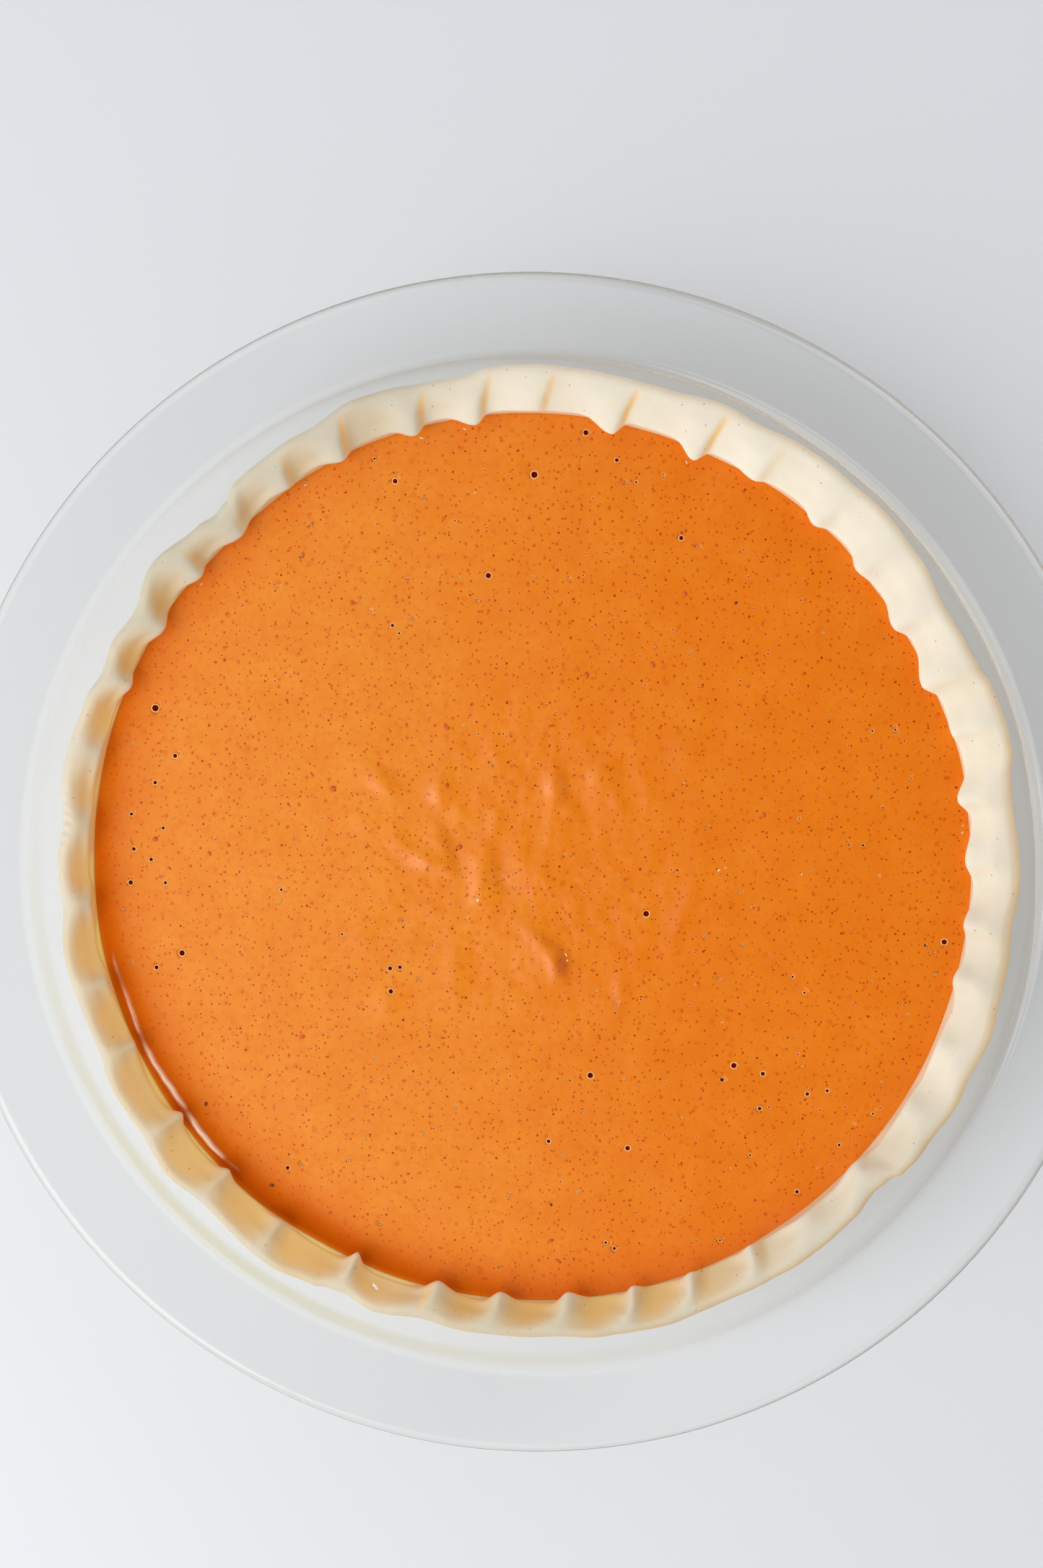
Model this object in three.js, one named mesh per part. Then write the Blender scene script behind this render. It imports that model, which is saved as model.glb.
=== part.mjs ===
// A pumpkin pie in its clear glass dish, filled and ready for the oven.
//
// Millimetres, +Z up. The origin is the middle of the dish's flat base, on the surface it stands on.
// Angles are degrees round the pie, counter-clockwise seen from above, from +X.
// A section is drawn as (radius, height) points, from the axis outwards and back to the axis.

import * as THREE from 'three';

const { degToRad, euclideanModulo } = THREE.MathUtils;

// Clearance between two pieces that touch.
const GAP = 0.35;

// Glass dish: a flat base, a flaring wall and a wide flange that ends in a rounded rim.
const DISH_RADIUS = 133.5;
const DISH_HEIGHT = 39;
const GLASS = 4;
const FLANGE_WIDTH = 19.1;
const WALL_SLOPE = 58;
const FLANGE_SLOPE = 12;
const BASE_FILLET = 9;
const BEND_FILLET = 7;
const DISH_COLUMNS = 80;

// Raw crust: a thin shell against the dish, folded to a thick edge at the top and crimped by hand.
const DOUGH = 3.5;
const CONTACT_HEIGHT = 28.5;
const LIP_RADIUS = 110;
const LIP_SHIFT = new THREE.Vector2(1.4, 1.9);
const LIP_OVAL = 0.8;
const LIP_OVAL_ANGLE = 60;
const LIP_TOP = 36.6;
const PINCH_HEIGHT = 31.6;
const TIP_HEIGHT = 34.4;
const FOLD_BOTTOM = 20;

// Filling: pumpkin custard, poured to its level inside the crust.
const LEVEL = 29.3;
const EDGE_RADIUS = 100.8;
const EDGE_BULGE = 2.2;
const EDGE_BULGE_ANGLE = 88;
const EDGE_BULGE_SPREAD = 34;
const FILLING_COLUMNS = 80;
const FILLING_RINGS = [96, 82, 66, 52, 44, 38, 33, 28.5, 24, 20, 16, 12, 8, 4];

// One row for each flute of the crimped edge: its angle, the radius that its tip reaches in to,
// the notch that it leaves in the outer edge, and how many degrees wide its crest is on one side.
const FLUTES = [
  [1.3, 98.8, 0.1, 2.6], [9.3, 98.2, 2.2, 2.0], [18.0, 100.2, 0.0, 1.6], [24.7, 98.1, 2.0, 2.2],
  [33.3, 98.6, 1.8, 2.4], [42.0, 99.9, 0.2, 2.4], [50.1, 100.5, 0.5, 2.2], [59.7, 101.0, 0.6, 2.4],
  [67.9, 98.7, 0.0, 2.0], [78.5, 99.6, 0.2, 2.4], [86.4, 101.4, 0.0, 1.8], [96.7, 101.0, 1.5, 2.8],
  [104.4, 100.7, 0.3, 2.4], [114.2, 100.6, 1.1, 2.8], [123.1, 100.7, 0.3, 2.4],
  [130.5, 98.6, 1.3, 2.6], [138.2, 98.5, 0.6, 2.2], [146.3, 98.0, 1.2, 3.0], [155.4, 98.9, 0.5, 2.6],
  [165.4, 101.1, 0.0, 3.0], [174.4, 100.4, 0.7, 2.6], [185.0, 100.0, 0.8, 2.4],
  [195.7, 99.9, 0.4, 1.8], [204.7, 98.7, 1.1, 1.8], [215.9, 97.7, 0.8, 1.4],
  [225.9, 98.1, 1.0, 1.4], [235.9, 99.6, 0.0, 1.6], [246.6, 96.3, 1.6, 1.2],
  [258.3, 97.1, 1.2, 2.0], [267.0, 97.6, 0.3, 1.8], [275.7, 97.6, 0.3, 1.6],
  [284.8, 98.8, 0.1, 1.6], [292.7, 99.6, 0.5, 1.5], [301.0, 99.8, 0.1, 1.6],
  [308.7, 101.2, 0.0, 3.0], [318.7, 99.9, 1.3, 2.4], [328.6, 101.3, 0.5, 2.6],
  [337.6, 101.0, 1.2, 2.6], [346.6, 99.4, 0.4, 2.4], [353.3, 99.2, 0.9, 2.2],
];
const COLUMNS_IN_FLUTE = [0, 0.16, 0.4, 0.66, 0.86];
const CLOCKWISE_STEEPNESS = 0.6;

// Soft folds that the poured filling left at its middle: x, y, height, half-length, half-width and
// the direction of its length. A negative height is a hollow.
const FOLDS = [
  [-19.5, 17.3, 0.9, 4.0, 2.6, 100], [-21.0, 1.5, 1.0, 7.0, 3.2, 150], [-9.0, 2.0, 0.9, 9.0, 2.6, 78],
  [-15.5, 11.5, 0.7, 3.2, 2.6, 90], [-0.5, 1.5, 0.9, 6.0, 4.0, 110], [5.6, 16.0, 0.9, 7.0, 2.4, 88],
  [15.0, 20.5, 0.7, 4.5, 3.6, 60], [-2.0, -20.5, 1.0, 7.0, 4.0, 160], [5.0, -17.2, -0.8, 6.0, 2.0, 147],
  [8.6, -22.7, -1.1, 2.6, 2.2, 80], [-32.0, -10.9, 0.4, 8.0, 3.0, 144], [-17.0, -26.0, 0.5, 5.0, 4.0, 60],
  [35.4, -14.3, 0.4, 8.5, 2.8, 77], [-34.5, 20.6, 0.5, 5.0, 3.4, 30],
];

// ---- Sections ----

function heading(slope) {
  return new THREE.Vector2(Math.cos(degToRad(slope)), Math.sin(degToRad(slope)));
}

// The corner between two straight walls, moved to the left of the way they are drawn.
function movedCorner(corner, slopeIn, slopeOut, distance) {
  const reach = distance / Math.cos(degToRad(slopeOut - slopeIn) / 2);
  return corner.clone().addScaledVector(heading((slopeIn + slopeOut) / 2 + 90), reach);
}

// The arc of `radius` that rounds the corner between two straight walls.
function roundedCorner(corner, slopeIn, slopeOut, radius, steps) {
  const turn = slopeOut - slopeIn;
  const side = Math.sign(turn) * 90;
  const reach = radius * Math.tan(Math.abs(degToRad(turn)) / 2);
  const start = corner.clone().addScaledVector(heading(slopeIn), -reach);
  const centre = start.addScaledVector(heading(slopeIn + side), radius);
  const points = [];
  for (let step = 0; step <= steps; step++) {
    const slope = slopeIn + (turn * step) / steps;
    points.push(centre.clone().addScaledVector(heading(slope - side), radius));
  }
  return points;
}

// ---- The dish's inner surface, which the crust and the filling follow ----

const rimCentre = new THREE.Vector2(DISH_RADIUS - GLASS / 2, DISH_HEIGHT - GLASS / 2);
const flangeEnd = rimCentre.clone().addScaledVector(heading(FLANGE_SLOPE + 90), GLASS / 2);
const bendRadius = DISH_RADIUS - FLANGE_WIDTH;
const bendCorner = new THREE.Vector2(
  bendRadius,
  flangeEnd.y - (flangeEnd.x - bendRadius) * Math.tan(degToRad(FLANGE_SLOPE)),
);
const floorCorner = new THREE.Vector2(
  bendRadius - (bendCorner.y - GLASS) / Math.tan(degToRad(WALL_SLOPE)),
  GLASS,
);

// The rounded corner between floor and wall, at a distance inside the glass, or outside if negative.
function floorFillet(inset, steps) {
  const corner = movedCorner(floorCorner, 0, WALL_SLOPE, inset);
  return roundedCorner(corner, 0, WALL_SLOPE, BASE_FILLET - inset, steps);
}

function bendFillet(inset, steps) {
  const corner = movedCorner(bendCorner, WALL_SLOPE, FLANGE_SLOPE, inset);
  return roundedCorner(corner, WALL_SLOPE, FLANGE_SLOPE, BEND_FILLET + inset, steps);
}

function wallPoint(inset, height) {
  const corner = movedCorner(floorCorner, 0, WALL_SLOPE, inset);
  return new THREE.Vector2(corner.x + (height - corner.y) / Math.tan(degToRad(WALL_SLOPE)), height);
}

function dishSection() {
  const rim = [];
  for (let turn = -90; turn <= 90; turn += 36) {
    rim.push(rimCentre.clone().addScaledVector(heading(FLANGE_SLOPE + turn), GLASS / 2));
  }
  return [
    new THREE.Vector2(0, 0),
    ...floorFillet(-GLASS, 3),
    ...bendFillet(-GLASS, 2),
    ...rim,
    ...bendFillet(0, 3).reverse(),
    ...floorFillet(0, 3).reverse(),
    new THREE.Vector2(0, GLASS),
  ];
}

// ---- Crust ----

// Radius of the crust's inner face where the filling meets it: it stands back at one side.
function edgeRadius(angle) {
  const away = euclideanModulo(angle - EDGE_BULGE_ANGLE + 180, 360) - 180;
  return EDGE_RADIUS + EDGE_BULGE * Math.exp(-((away / EDGE_BULGE_SPREAD) ** 2));
}

// How the flutes on both sides shape the edge at an angle: ridge is 1 on a crest and 0 in a pocket.
function crimp(angle) {
  const last = FLUTES.length - 1;
  const after = FLUTES.findIndex((flute) => flute[0] > angle);
  const next = FLUTES[Math.max(after, 0)];
  const previous = FLUTES[after < 1 ? last : after - 1];
  const pinch = edgeRadius(angle) + 1.3;
  let ridge = 0;
  let inner = pinch;
  let notch = 0;
  for (const [flute, steepness] of [[previous, 1], [next, CLOCKWISE_STEEPNESS]]) {
    const [crest, tip, depth, width] = flute;
    const away = Math.abs(euclideanModulo(angle - crest + 180, 360) - 180);
    const weight = Math.exp(-((away / (width * steepness)) ** 1.4));
    ridge = Math.max(ridge, weight);
    inner = Math.min(inner, pinch + (tip - pinch) * weight);
    notch = Math.max(notch, depth * Math.exp(-((away / (width + 1)) ** 2)));
  }
  return { ridge, inner, notch };
}

function crustSection(angle) {
  const { ridge, inner, notch } = crimp(angle);
  const oval = LIP_OVAL * Math.cos(degToRad(2 * (angle - LIP_OVAL_ANGLE)));
  const lip = LIP_RADIUS + LIP_SHIFT.dot(heading(angle)) + oval - notch;
  const edge = edgeRadius(angle);
  const shoulder = lip - 3.6;
  const pocket = 0.45 * shoulder + 0.55 * inner;
  return [
    new THREE.Vector2(0, GLASS + GAP),
    ...floorFillet(GAP, 2),
    wallPoint(GAP, CONTACT_HEIGHT),
    new THREE.Vector2(lip - 1.3, LIP_TOP - 4.2),
    new THREE.Vector2(lip, LIP_TOP - 2),
    new THREE.Vector2(lip - 0.9, LIP_TOP - 0.3 + 0.5 * ridge),
    new THREE.Vector2(shoulder, LIP_TOP + 0.8 * ridge),
    new THREE.Vector2(pocket, PINCH_HEIGHT + 2 + 2.8 * ridge),
    new THREE.Vector2(inner, THREE.MathUtils.lerp(PINCH_HEIGHT, TIP_HEIGHT, ridge)),
    new THREE.Vector2(edge + 0.2, LEVEL + 0.7),
    new THREE.Vector2(edge - 0.8, FOLD_BOTTOM),
    ...floorFillet(GAP + DOUGH, 2).reverse(),
    new THREE.Vector2(0, GLASS + GAP + DOUGH),
  ];
}

function crustAngles() {
  return FLUTES.flatMap(([crest], index) => {
    const following = FLUTES[(index + 1) % FLUTES.length][0];
    const pitch = euclideanModulo(following - crest, 360);
    return COLUMNS_IN_FLUTE.map((share) => euclideanModulo(crest + share * pitch, 360));
  });
}

// ---- Filling ----

// Height of the folds above the level at a point of the surface.
function foldHeight(x, y) {
  let height = 0;
  for (const [foldX, foldY, rise, halfLength, halfWidth, direction] of FOLDS) {
    const along = heading(direction);
    const offset = new THREE.Vector2(x - foldX, y - foldY);
    const u = offset.dot(along) / halfLength;
    const v = offset.cross(along) / halfWidth;
    height += rise * Math.exp(-(u * u + v * v));
  }
  return height;
}

function fillingSection(angle) {
  const inset = 2 * GAP + DOUGH;
  const edge = edgeRadius(angle) - GAP;
  const out = heading(angle);
  return [
    new THREE.Vector2(0, GLASS + inset),
    ...floorFillet(inset, 2),
    new THREE.Vector2(edge - 0.8, FOLD_BOTTOM),
    new THREE.Vector2(edge + 0.1, LEVEL),
    ...[...FILLING_RINGS, 0].map(
      (radius) => new THREE.Vector2(radius, LEVEL + foldHeight(radius * out.x, radius * out.y)),
    ),
  ];
}

// ---- Solids ----

function evenAngles(count) {
  return Array.from({ length: count }, (_, column) => (column * 360) / count);
}

// A closed shape turned round the Z axis, with one column of points for each angle.
function turned(sectionAt, angles) {
  const rows = sectionAt(angles[0]).length;
  const geometry = new THREE.LatheGeometry(sectionAt(angles[0]), angles.length);
  const position = geometry.getAttribute('position');
  for (let column = 0; column <= angles.length; column++) {
    const angle = angles[column % angles.length];
    const out = heading(angle);
    sectionAt(angle).forEach((point, row) => {
      position.setXYZ(column * rows + row, point.x * out.x, point.x * out.y, point.y);
    });
  }
  geometry.computeVertexNormals();
  return geometry;
}

function named(name, geometry, material) {
  const mesh = new THREE.Mesh(geometry, material);
  mesh.name = name;
  return mesh;
}

const glass = new THREE.MeshStandardMaterial({
  color: 0xdfe8e6,
  roughness: 0.03,
  metalness: 0,
  transparent: true,
  opacity: 0.35,
});
const dough = new THREE.MeshStandardMaterial({ color: 0xf3e4c8, roughness: 0.6, metalness: 0 });
const custard = new THREE.MeshStandardMaterial({ color: 0xe8831f, roughness: 0.35, metalness: 0 });

const pie = new THREE.Group();
pie.name = 'pumpkin_pie';
pie.add(named('dish', turned(dishSection, evenAngles(DISH_COLUMNS)), glass));
pie.add(named('crust', turned(crustSection, crustAngles()), dough));
pie.add(named('filling', turned(fillingSection, evenAngles(FILLING_COLUMNS)), custard));

export default pie;
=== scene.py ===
import math
import random

import bmesh
import bpy
import numpy as np
from mathutils import Matrix, Vector, noise


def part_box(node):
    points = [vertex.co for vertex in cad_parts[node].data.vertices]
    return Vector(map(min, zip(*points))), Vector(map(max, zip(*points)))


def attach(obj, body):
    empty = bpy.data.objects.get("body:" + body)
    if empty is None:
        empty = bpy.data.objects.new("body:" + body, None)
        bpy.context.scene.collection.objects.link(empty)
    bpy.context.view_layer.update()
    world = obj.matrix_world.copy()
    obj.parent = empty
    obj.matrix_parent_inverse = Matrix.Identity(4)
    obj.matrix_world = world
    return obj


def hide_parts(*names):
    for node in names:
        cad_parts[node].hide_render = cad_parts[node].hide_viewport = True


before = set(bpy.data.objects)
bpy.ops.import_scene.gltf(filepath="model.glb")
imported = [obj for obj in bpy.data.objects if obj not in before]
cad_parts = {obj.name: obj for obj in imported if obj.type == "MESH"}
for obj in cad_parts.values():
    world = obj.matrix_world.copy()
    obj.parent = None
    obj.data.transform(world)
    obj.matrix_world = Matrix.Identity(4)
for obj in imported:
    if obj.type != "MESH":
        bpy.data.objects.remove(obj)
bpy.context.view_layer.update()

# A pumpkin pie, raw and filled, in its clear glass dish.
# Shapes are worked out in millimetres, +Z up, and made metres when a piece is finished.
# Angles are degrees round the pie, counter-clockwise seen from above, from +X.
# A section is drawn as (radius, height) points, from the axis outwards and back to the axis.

MM = 0.001

# A turned shape is spun as one sector of this many, which is then copied round.
SECTORS = 12

# Glass dish. Its radius and height are those of the solid.
DISH_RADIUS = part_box("dish")[1][0] / MM
DISH_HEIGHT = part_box("dish")[1][2] / MM
GLASS = 4.0
FLANGE_WIDTH = 19.1
WALL_SLOPE = 58.0
FLANGE_SLOPE = 12.0
BASE_FILLET = 9.0
BEND_FILLET = 7.0
DISH_COLUMNS = 288

# Glass looks greener at its outermost edge, except round one angle, and where it bends out to the
# flange, most round another. At the edge it is also darker: partly its own tint, partly painted
# shade for the dark that the rounded edge refracts. At the bend the tint is partly its own, partly
# a painted reflection of the crust. An angle is followed by its spread.
EDGE_TINT_WIDTH = 0.5
EDGE_CLEAR = (33.0, 52.0)
BEND_TINT_RADIUS = 113.3
BEND_TINT_WIDTH = 1.15
BEND_TINT = (230.0, 42.0)
WALL_RADII = (110.0, 111.0, 111.6, 112.0, 112.3, 112.6)

# Raw crust, which bites a little into the glass. Its lumps are a height and a fineness each.
DOUGH = 3.5
BITE = 0.12
CONTACT_HEIGHT = 24.5
LIP_TOP = 36.5
FOLD_BOTTOM = 20.0
CRUST_COLUMNS = 1200
CRUST_STEPS = 4
CRUST_LUMPS = [(0.22, 0.16), (0.05, 0.7)]
LUMPS_OUTWARDS = 0.7

# Filling, which overlaps the crust, so that no gap shows. A middle is an angle and its spread.
LEVEL = 29.3
SURFACE_LEVEL = LEVEL - 0.3
EDGE_RADIUS = 100.4
OVERLAP = 0.5
CRUST_GAP = 0.1
CLIMB_HEIGHT = 0.15
CLIMB_MORE = 1.15
CLIMB_REACH = 4.6
CLIMB_MIDDLE = (225.0, 80.0)
# Painted shadow of the crust on the filling by its edge, then a redder painted shade there.
EDGE_SHADOW_WIDTH = 5.5
EDGE_SHADOW_MIDDLE = (228.0, 46.0)
RED_SHADE_WIDTH = 7.0
RED_SHADE_MIDDLE = (218.0, 75.0)
EDGE_RINGS = 28
EDGE_RING_GAP = 0.18
FILLING_COLUMNS = 420
FILLING_RINGS = 150

# The glossy ridge of skin along the edge: how far its line waves and how many times round the
# pie, and rows of an angle and the strength there.
SKIN_RIDGE_HEIGHT = 0.42
SKIN_RIDGE_INSET = 1.9
SKIN_RIDGE_WIDTH = 0.42
SKIN_RIDGE_WAVES = [(0.25, 24), (0.08, 131)]
# How wide the band along the ridge is that gets a painted highlight and a clear coat, and how much
# wider where the ridge is strong.
SKIN_GLOSS_WIDTH = 0.22
SKIN_GLOSS_MORE = 0.26
SKIN_RIDGE = [
    (192, 0), (194, 0.35), (196.2, 0.15), (198.2, 0.4), (200.5, 0.5), (202.6, 0.5), (204.4, 0.25),
    (206.4, 0.9), (209, 0.8), (212, 1), (215, 0.8), (216, 0.25), (217.2, 0.9), (220.8, 1),
    (223.4, 0.7), (224.5, 0.1), (226, 0.25), (227.4, 0),
]

# One row for each flute of the crimped edge: its angle, the radius that its tip reaches in to,
# the degrees that its crest is wide on the counter-clockwise and on the clockwise side, and the
# depth of the crease beside it. Then, for the thumbprint that follows it counter-clockwise, how
# deep that is, the radius at which the filling meets it and the width of the ledge under it.
FLUTES = [
    (1.3, 98.8, 2.8, 1.8, 0.08, 0.44, 100.4, 0.2), (9.3, 98.2, 2, 1.5, 0.12, 0.42, 100.9, 0.2),
    (18, 100.2, 1.8, 1.2, 0.08, 0.36, 100.4, 0.2), (24.9, 98, 3, 1.4, 0.18, 0.38, 100.4, 0.2),
    (33.4, 98.6, 2.4, 1.4, 0.06, 0.38, 100.6, 0.2), (42, 99.9, 1.4, 1.9, 0.08, 0.3, 101.9, 0.2),
    (50.1, 100.5, 1.6, 1.4, 0.1, 0.3, 102.2, 0.2), (59.7, 101, 2.2, 1.2, 0.25, 0.34, 101.8, 0.2),
    (67.6, 99, 1.9, 1, 0.9, 0.38, 102.2, 0.2), (78.7, 99.4, 2.5, 1.1, 1, 0.45, 102.7, 0.2),
    (88.7, 102.8, 2.2, 1.2, 0.7, 0.55, 102.8, 0.2), (96.3, 100.4, 2.3, 1, 0.8, 0.7, 102.7, 0.2),
    (104.2, 100.6, 1.9, 1, 0.8, 0.85, 102.6, 0.2), (114.2, 100.7, 2, 1.2, 0.8, 0.9, 102, 0.2),
    (122.2, 101, 2, 1.1, 0.4, 0.92, 101.1, 0.2), (130.9, 98.9, 2.4, 2, 0.3, 0.95, 100.5, 0.2),
    (138.3, 98.8, 2, 1.2, 0.3, 1, 100.8, 0.2), (146.8, 98.3, 2.4, 1.5, 0.2, 1, 100.7, 0.2),
    (155.6, 98.9, 1.6, 1.4, 0.1, 1, 100.6, 0.9), (165.4, 101.1, 2.6, 2, 0, 0.95, 100.2, 1.9),
    (174.8, 100.4, 2.4, 2.2, 0, 0.95, 100, 1.6), (184.8, 100.2, 1.9, 1.5, 0, 0.95, 100.1, 1.5),
    (195.5, 99.9, 1.7, 1.2, 0, 0.95, 99.9, 0.3), (204.6, 98.9, 1.3, 1, 0, 0.9, 99.8, 1.6),
    (215.9, 97.7, 1.1, 1, 0, 1, 99.8, 1.1), (225.8, 97.9, 1.4, 1.1, 0, 1, 99.9, 0.3),
    (235.5, 99.2, 1.1, 1.2, 0, 1, 99.5, 1.3), (246.6, 96.9, 1, 0.9, 0, 1, 99.9, 1.3),
    (258.3, 97.1, 1.9, 1.6, 0.6, 1, 99.9, 1), (266.7, 97.6, 1.5, 1.4, 0, 0.95, 100.1, 0.5),
    (275.8, 97.6, 1.7, 1.4, 0, 1, 100.2, 0.2), (284.5, 98.6, 1.1, 1, 0, 1, 100.4, 0.2),
    (292.3, 99.3, 1, 1.2, 0, 0.95, 100.5, 0.3), (300.8, 99.6, 1, 1.2, 0, 0.85, 100.4, 0.4),
    (308.9, 101.2, 2.2, 2.2, 0, 0.6, 100.5, 0.7), (318.1, 99.6, 1.5, 2.6, 0, 0.7, 100.6, 1),
    (328.4, 101.3, 1.8, 2.4, 0, 0.5, 100.6, 1), (337.1, 101, 1.8, 2.2, 0, 0.5, 100.4, 0.9),
    (345.9, 99.4, 1.6, 1.5, 0.05, 0.54, 100.4, 0.2),
    (353.1, 99.2, 1.8, 1.4, 0.05, 0.52, 100.5, 0.2),
]
CRESTS, TIPS, _, _, _, PRINT_DEPTHS, EDGE_RADII, LEDGE_WIDTHS = np.array(FLUTES).T
CREASE_BEFORE = 1.05
CREASE_WIDTH = 0.38
# How far from one crest to the next the thumbprint's middle lies.
PRINT_PLACE = 0.6

# The crust's wavy outer edge: angles, and the radius there.
LIP_OUTLINE = [
    (8.5, 110.1), (11, 110.6), (14, 112.2), (17.5, 112.6), (22, 112.2), (24, 111.2), (26.5, 110.8),
    (29, 110.9), (32, 110.7), (38.5, 112.5), (44.5, 113.4), (49.5, 113.2), (56, 113.6), (62, 112.5),
    (67, 113.3), (73, 112.1), (90.5, 113.4), (94.5, 113), (96.5, 111.8), (98.5, 111.5),
    (110.5, 112.6), (116.5, 110.4), (119, 110.5), (127, 109.4), (129.5, 107.3), (131.5, 106.6),
    (134, 107.5), (141, 109.6), (147.5, 106.4), (151.5, 107.5), (155.5, 106.6), (159, 107.8),
    (168, 108.5), (175, 106.9), (179, 107.6), (185, 107), (191.5, 108.5), (203, 107.3),
    (208.5, 108.6), (215, 108.1), (220.5, 109.5), (226.5, 107.8), (237.5, 109.5), (243, 108.3),
    (245, 107.2), (247, 106.9), (251, 108.2), (257.5, 106.5), (262.5, 107.6), (266, 107.4),
    (271, 107.7), (273, 107.6), (280, 108.7), (288, 109.2), (293.5, 108.5), (305.5, 109.1),
    (313.5, 108.7), (317.5, 107.6), (319.5, 108.1), (321.5, 109.8), (324, 110.2), (326.5, 110.1),
    (331.5, 111.1), (335, 110.5), (340.5, 111.4), (344, 110.8), (350, 110.6), (353, 110.1),
    (359, 111.1),
]

# Fine wrinkles across the lip: the middle angle, the spread and the degrees from one to the next.
WRINKLES = (174.5, 4.5, 1.25)
WRINKLE_DEPTH = 0.12

# Where round the pie the edge differs, each an angle and its spread: the outer edge is yellower,
# partly butter and partly painted shade; the ledge under the thumbprints gets a painted warm glow
# of bounced light; the lip is rounder, the tips are more pointed, the crests are wider on their
# counter-clockwise or on their clockwise side; the lip and the crests get painted shade, darker and
# nearly as warm as the thumbprints; and the creases run on through the lip.
BUTTER_AND_SHADE = (342.0, 80.0)
LEDGE_GLOW = (200.0, 62.0)
ROUNDED = (352.0, 22.0)
POINTED = (228.0, 50.0)
LATE = (110.0, 60.0)
EARLY = (270.0, 45.0)
SHADED_LIP = (214.0, 60.0)
NOTCHED = (27.0, 12.0)

# Degrees that a crest leans clockwise from its tip to the lip, at most, round two angles.
LEANS = [(2.2, 283.0, 24.0), (1.5, 95.0, 35.0)]

# How much darker painted shade the dough gets, how much warm painted shade its thumbprints get, and
# how much more of that they get where they face this way, away from the window: each as rows of an
# angle and the strength there.
DARK_SHADE_ROUND = [
    (8, 0.1), (20, 0.05), (58, 0), (75, 0.15), (93, 0.22), (108, 0.9), (121, 0.75), (140, 0.8),
    (153, 0.55), (163, 0.2), (185, 0.08), (215, 0.05), (250, 0.15), (262, 0.5), (272, 0.6),
    (285, 0.7), (296, 0.65), (312, 0.6), (325, 0.65), (335, 0.25), (350, 0.4),
]
WARM_SHADE_ROUND = [
    (0, 0.2), (20, 0.25), (35, 0.2), (48, 0.08), (93, 0.1), (110, 0.3), (120, 0.5), (140, 0.6),
    (152, 1), (162, 0.85), (200, 1), (240, 1), (247, 0.65), (253, 0.5), (262, 1), (272, 1),
    (284, 0.8), (290, 0.8), (297, 0.45), (305, 0.2), (316, 0.12), (345, 0.12),
]
AWAY_FROM_WINDOW = (1.15, 0.68)
WARM_SHADE_AWAY = [(60, 0.1), (106, 0.2), (117, 0.9), (300, 0.95), (322, 0.6), (345, 0.1)]

# The top of the crust's edge, in rows from the lip to the tips: how much wider its crests are, how
# far they lean, how much warm painted shade the thumbprints and the shaded crests get, and how much
# darker painted shade the shaded part gets everywhere and on its crests.
EDGE_ROWS = [
    (2.0, 1.0, 0.42, 0.1, 0.6, 0.3), (1.6, 0.8, 0.86, 0.3, 0.25, 0.55),
    (1.2, 0.5, 1.0, 0.4, 0.0, 0.85), (0.9, 0.2, 1.0, 0.45, 0.0, 0.85),
    (1.0, 0.0, 1.0, 0.45, 0.0, 0.85),
]

# Soft folds that the poured filling left at its middle: x, y, height, half-length, half-width and
# direction. A negative height is a hollow.
FOLDS = [
    (-20, 16.8, 0.75, 3, 2.3, 75), (-15.5, 12, 0.32, 2.6, 2.4, 75), (-23.2, 1.4, 0.75, 3.4, 2, 155),
    (-18.8, 4.2, 0.45, 6, 2.8, 114), (-16.6, 2.6, -0.35, 5.5, 1.9, 112),
    (-10.2, -2, 0.66, 7, 2.8, 86), (-7, 9.8, 0.5, 3.3, 1.9, 86), (-5.6, -3.6, -0.25, 3.5, 1.7, 128),
    (-2, 4, 0.36, 4, 2.6, 75), (2.6, -2.8, 0.48, 4.4, 3.4, 112), (6.4, 18.8, 0.75, 3.6, 2, 92),
    (6.2, 9, 0.2, 4, 2.4, 86), (12, 14.4, -0.32, 4.5, 1.6, 128), (16.6, 20.8, 0.6, 3.2, 2.6, 78),
    (20.8, 15, 0.24, 4, 1.7, 120), (3.4, -21.6, 0.6, 4.6, 4.2, 100), (6.6, -22.4, 0.55, 3, 1.7, 98),
    (3, -17, 0.42, 7, 2, 140), (-16.4, -25.2, 0.34, 6, 2.4, 90), (35.9, -10.5, 0.34, 9, 1.8, 71),
    (29.7, -11, -0.14, 7, 1.8, 85), (-33.6, 19.4, 0.5, 4.5, 2.4, 145),
    (-38, -15.5, 0.2, 3.2, 3, 90), (-37, 9.5, 0.2, 3.2, 3, 90), (-29, 4.6, 0.28, 4, 2.2, 120),
    (-32.4, -32, 0.32, 4, 3, 80), (-7.2, 26, 0.26, 3.2, 1.8, 120), (27.2, 18, 0.13, 5, 1.9, 95),
    (21.6, -28, 0.32, 4, 1.7, 85), (36.4, 26, 0.22, 3, 3, 90),
]
# Painted shade in the hollows between the folds, with a strength instead of a height.
HOLLOWS = [
    (8.2, -22.8, 0.75, 2.8, 1.8, 98), (5, -17.5, 0.28, 5, 1.3, 143), (-17.6, 4, 0.22, 6.5, 2, 112),
    (-6.4, -1, 0.18, 5.5, 1.5, 105), (8.8, 17.2, 0.22, 4.8, 1.8, 95),
    (-32.2, 21.4, 0.15, 3.6, 1.4, 145),
]
# Smaller lumps strewn all round the middle: how high, how wide, and how far they spread.
LUMPS = [(0.14, 7.0), (0.12, 3.0), (0.05, 1.4)]
LUMPS_SPREAD = 42.0

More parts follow.
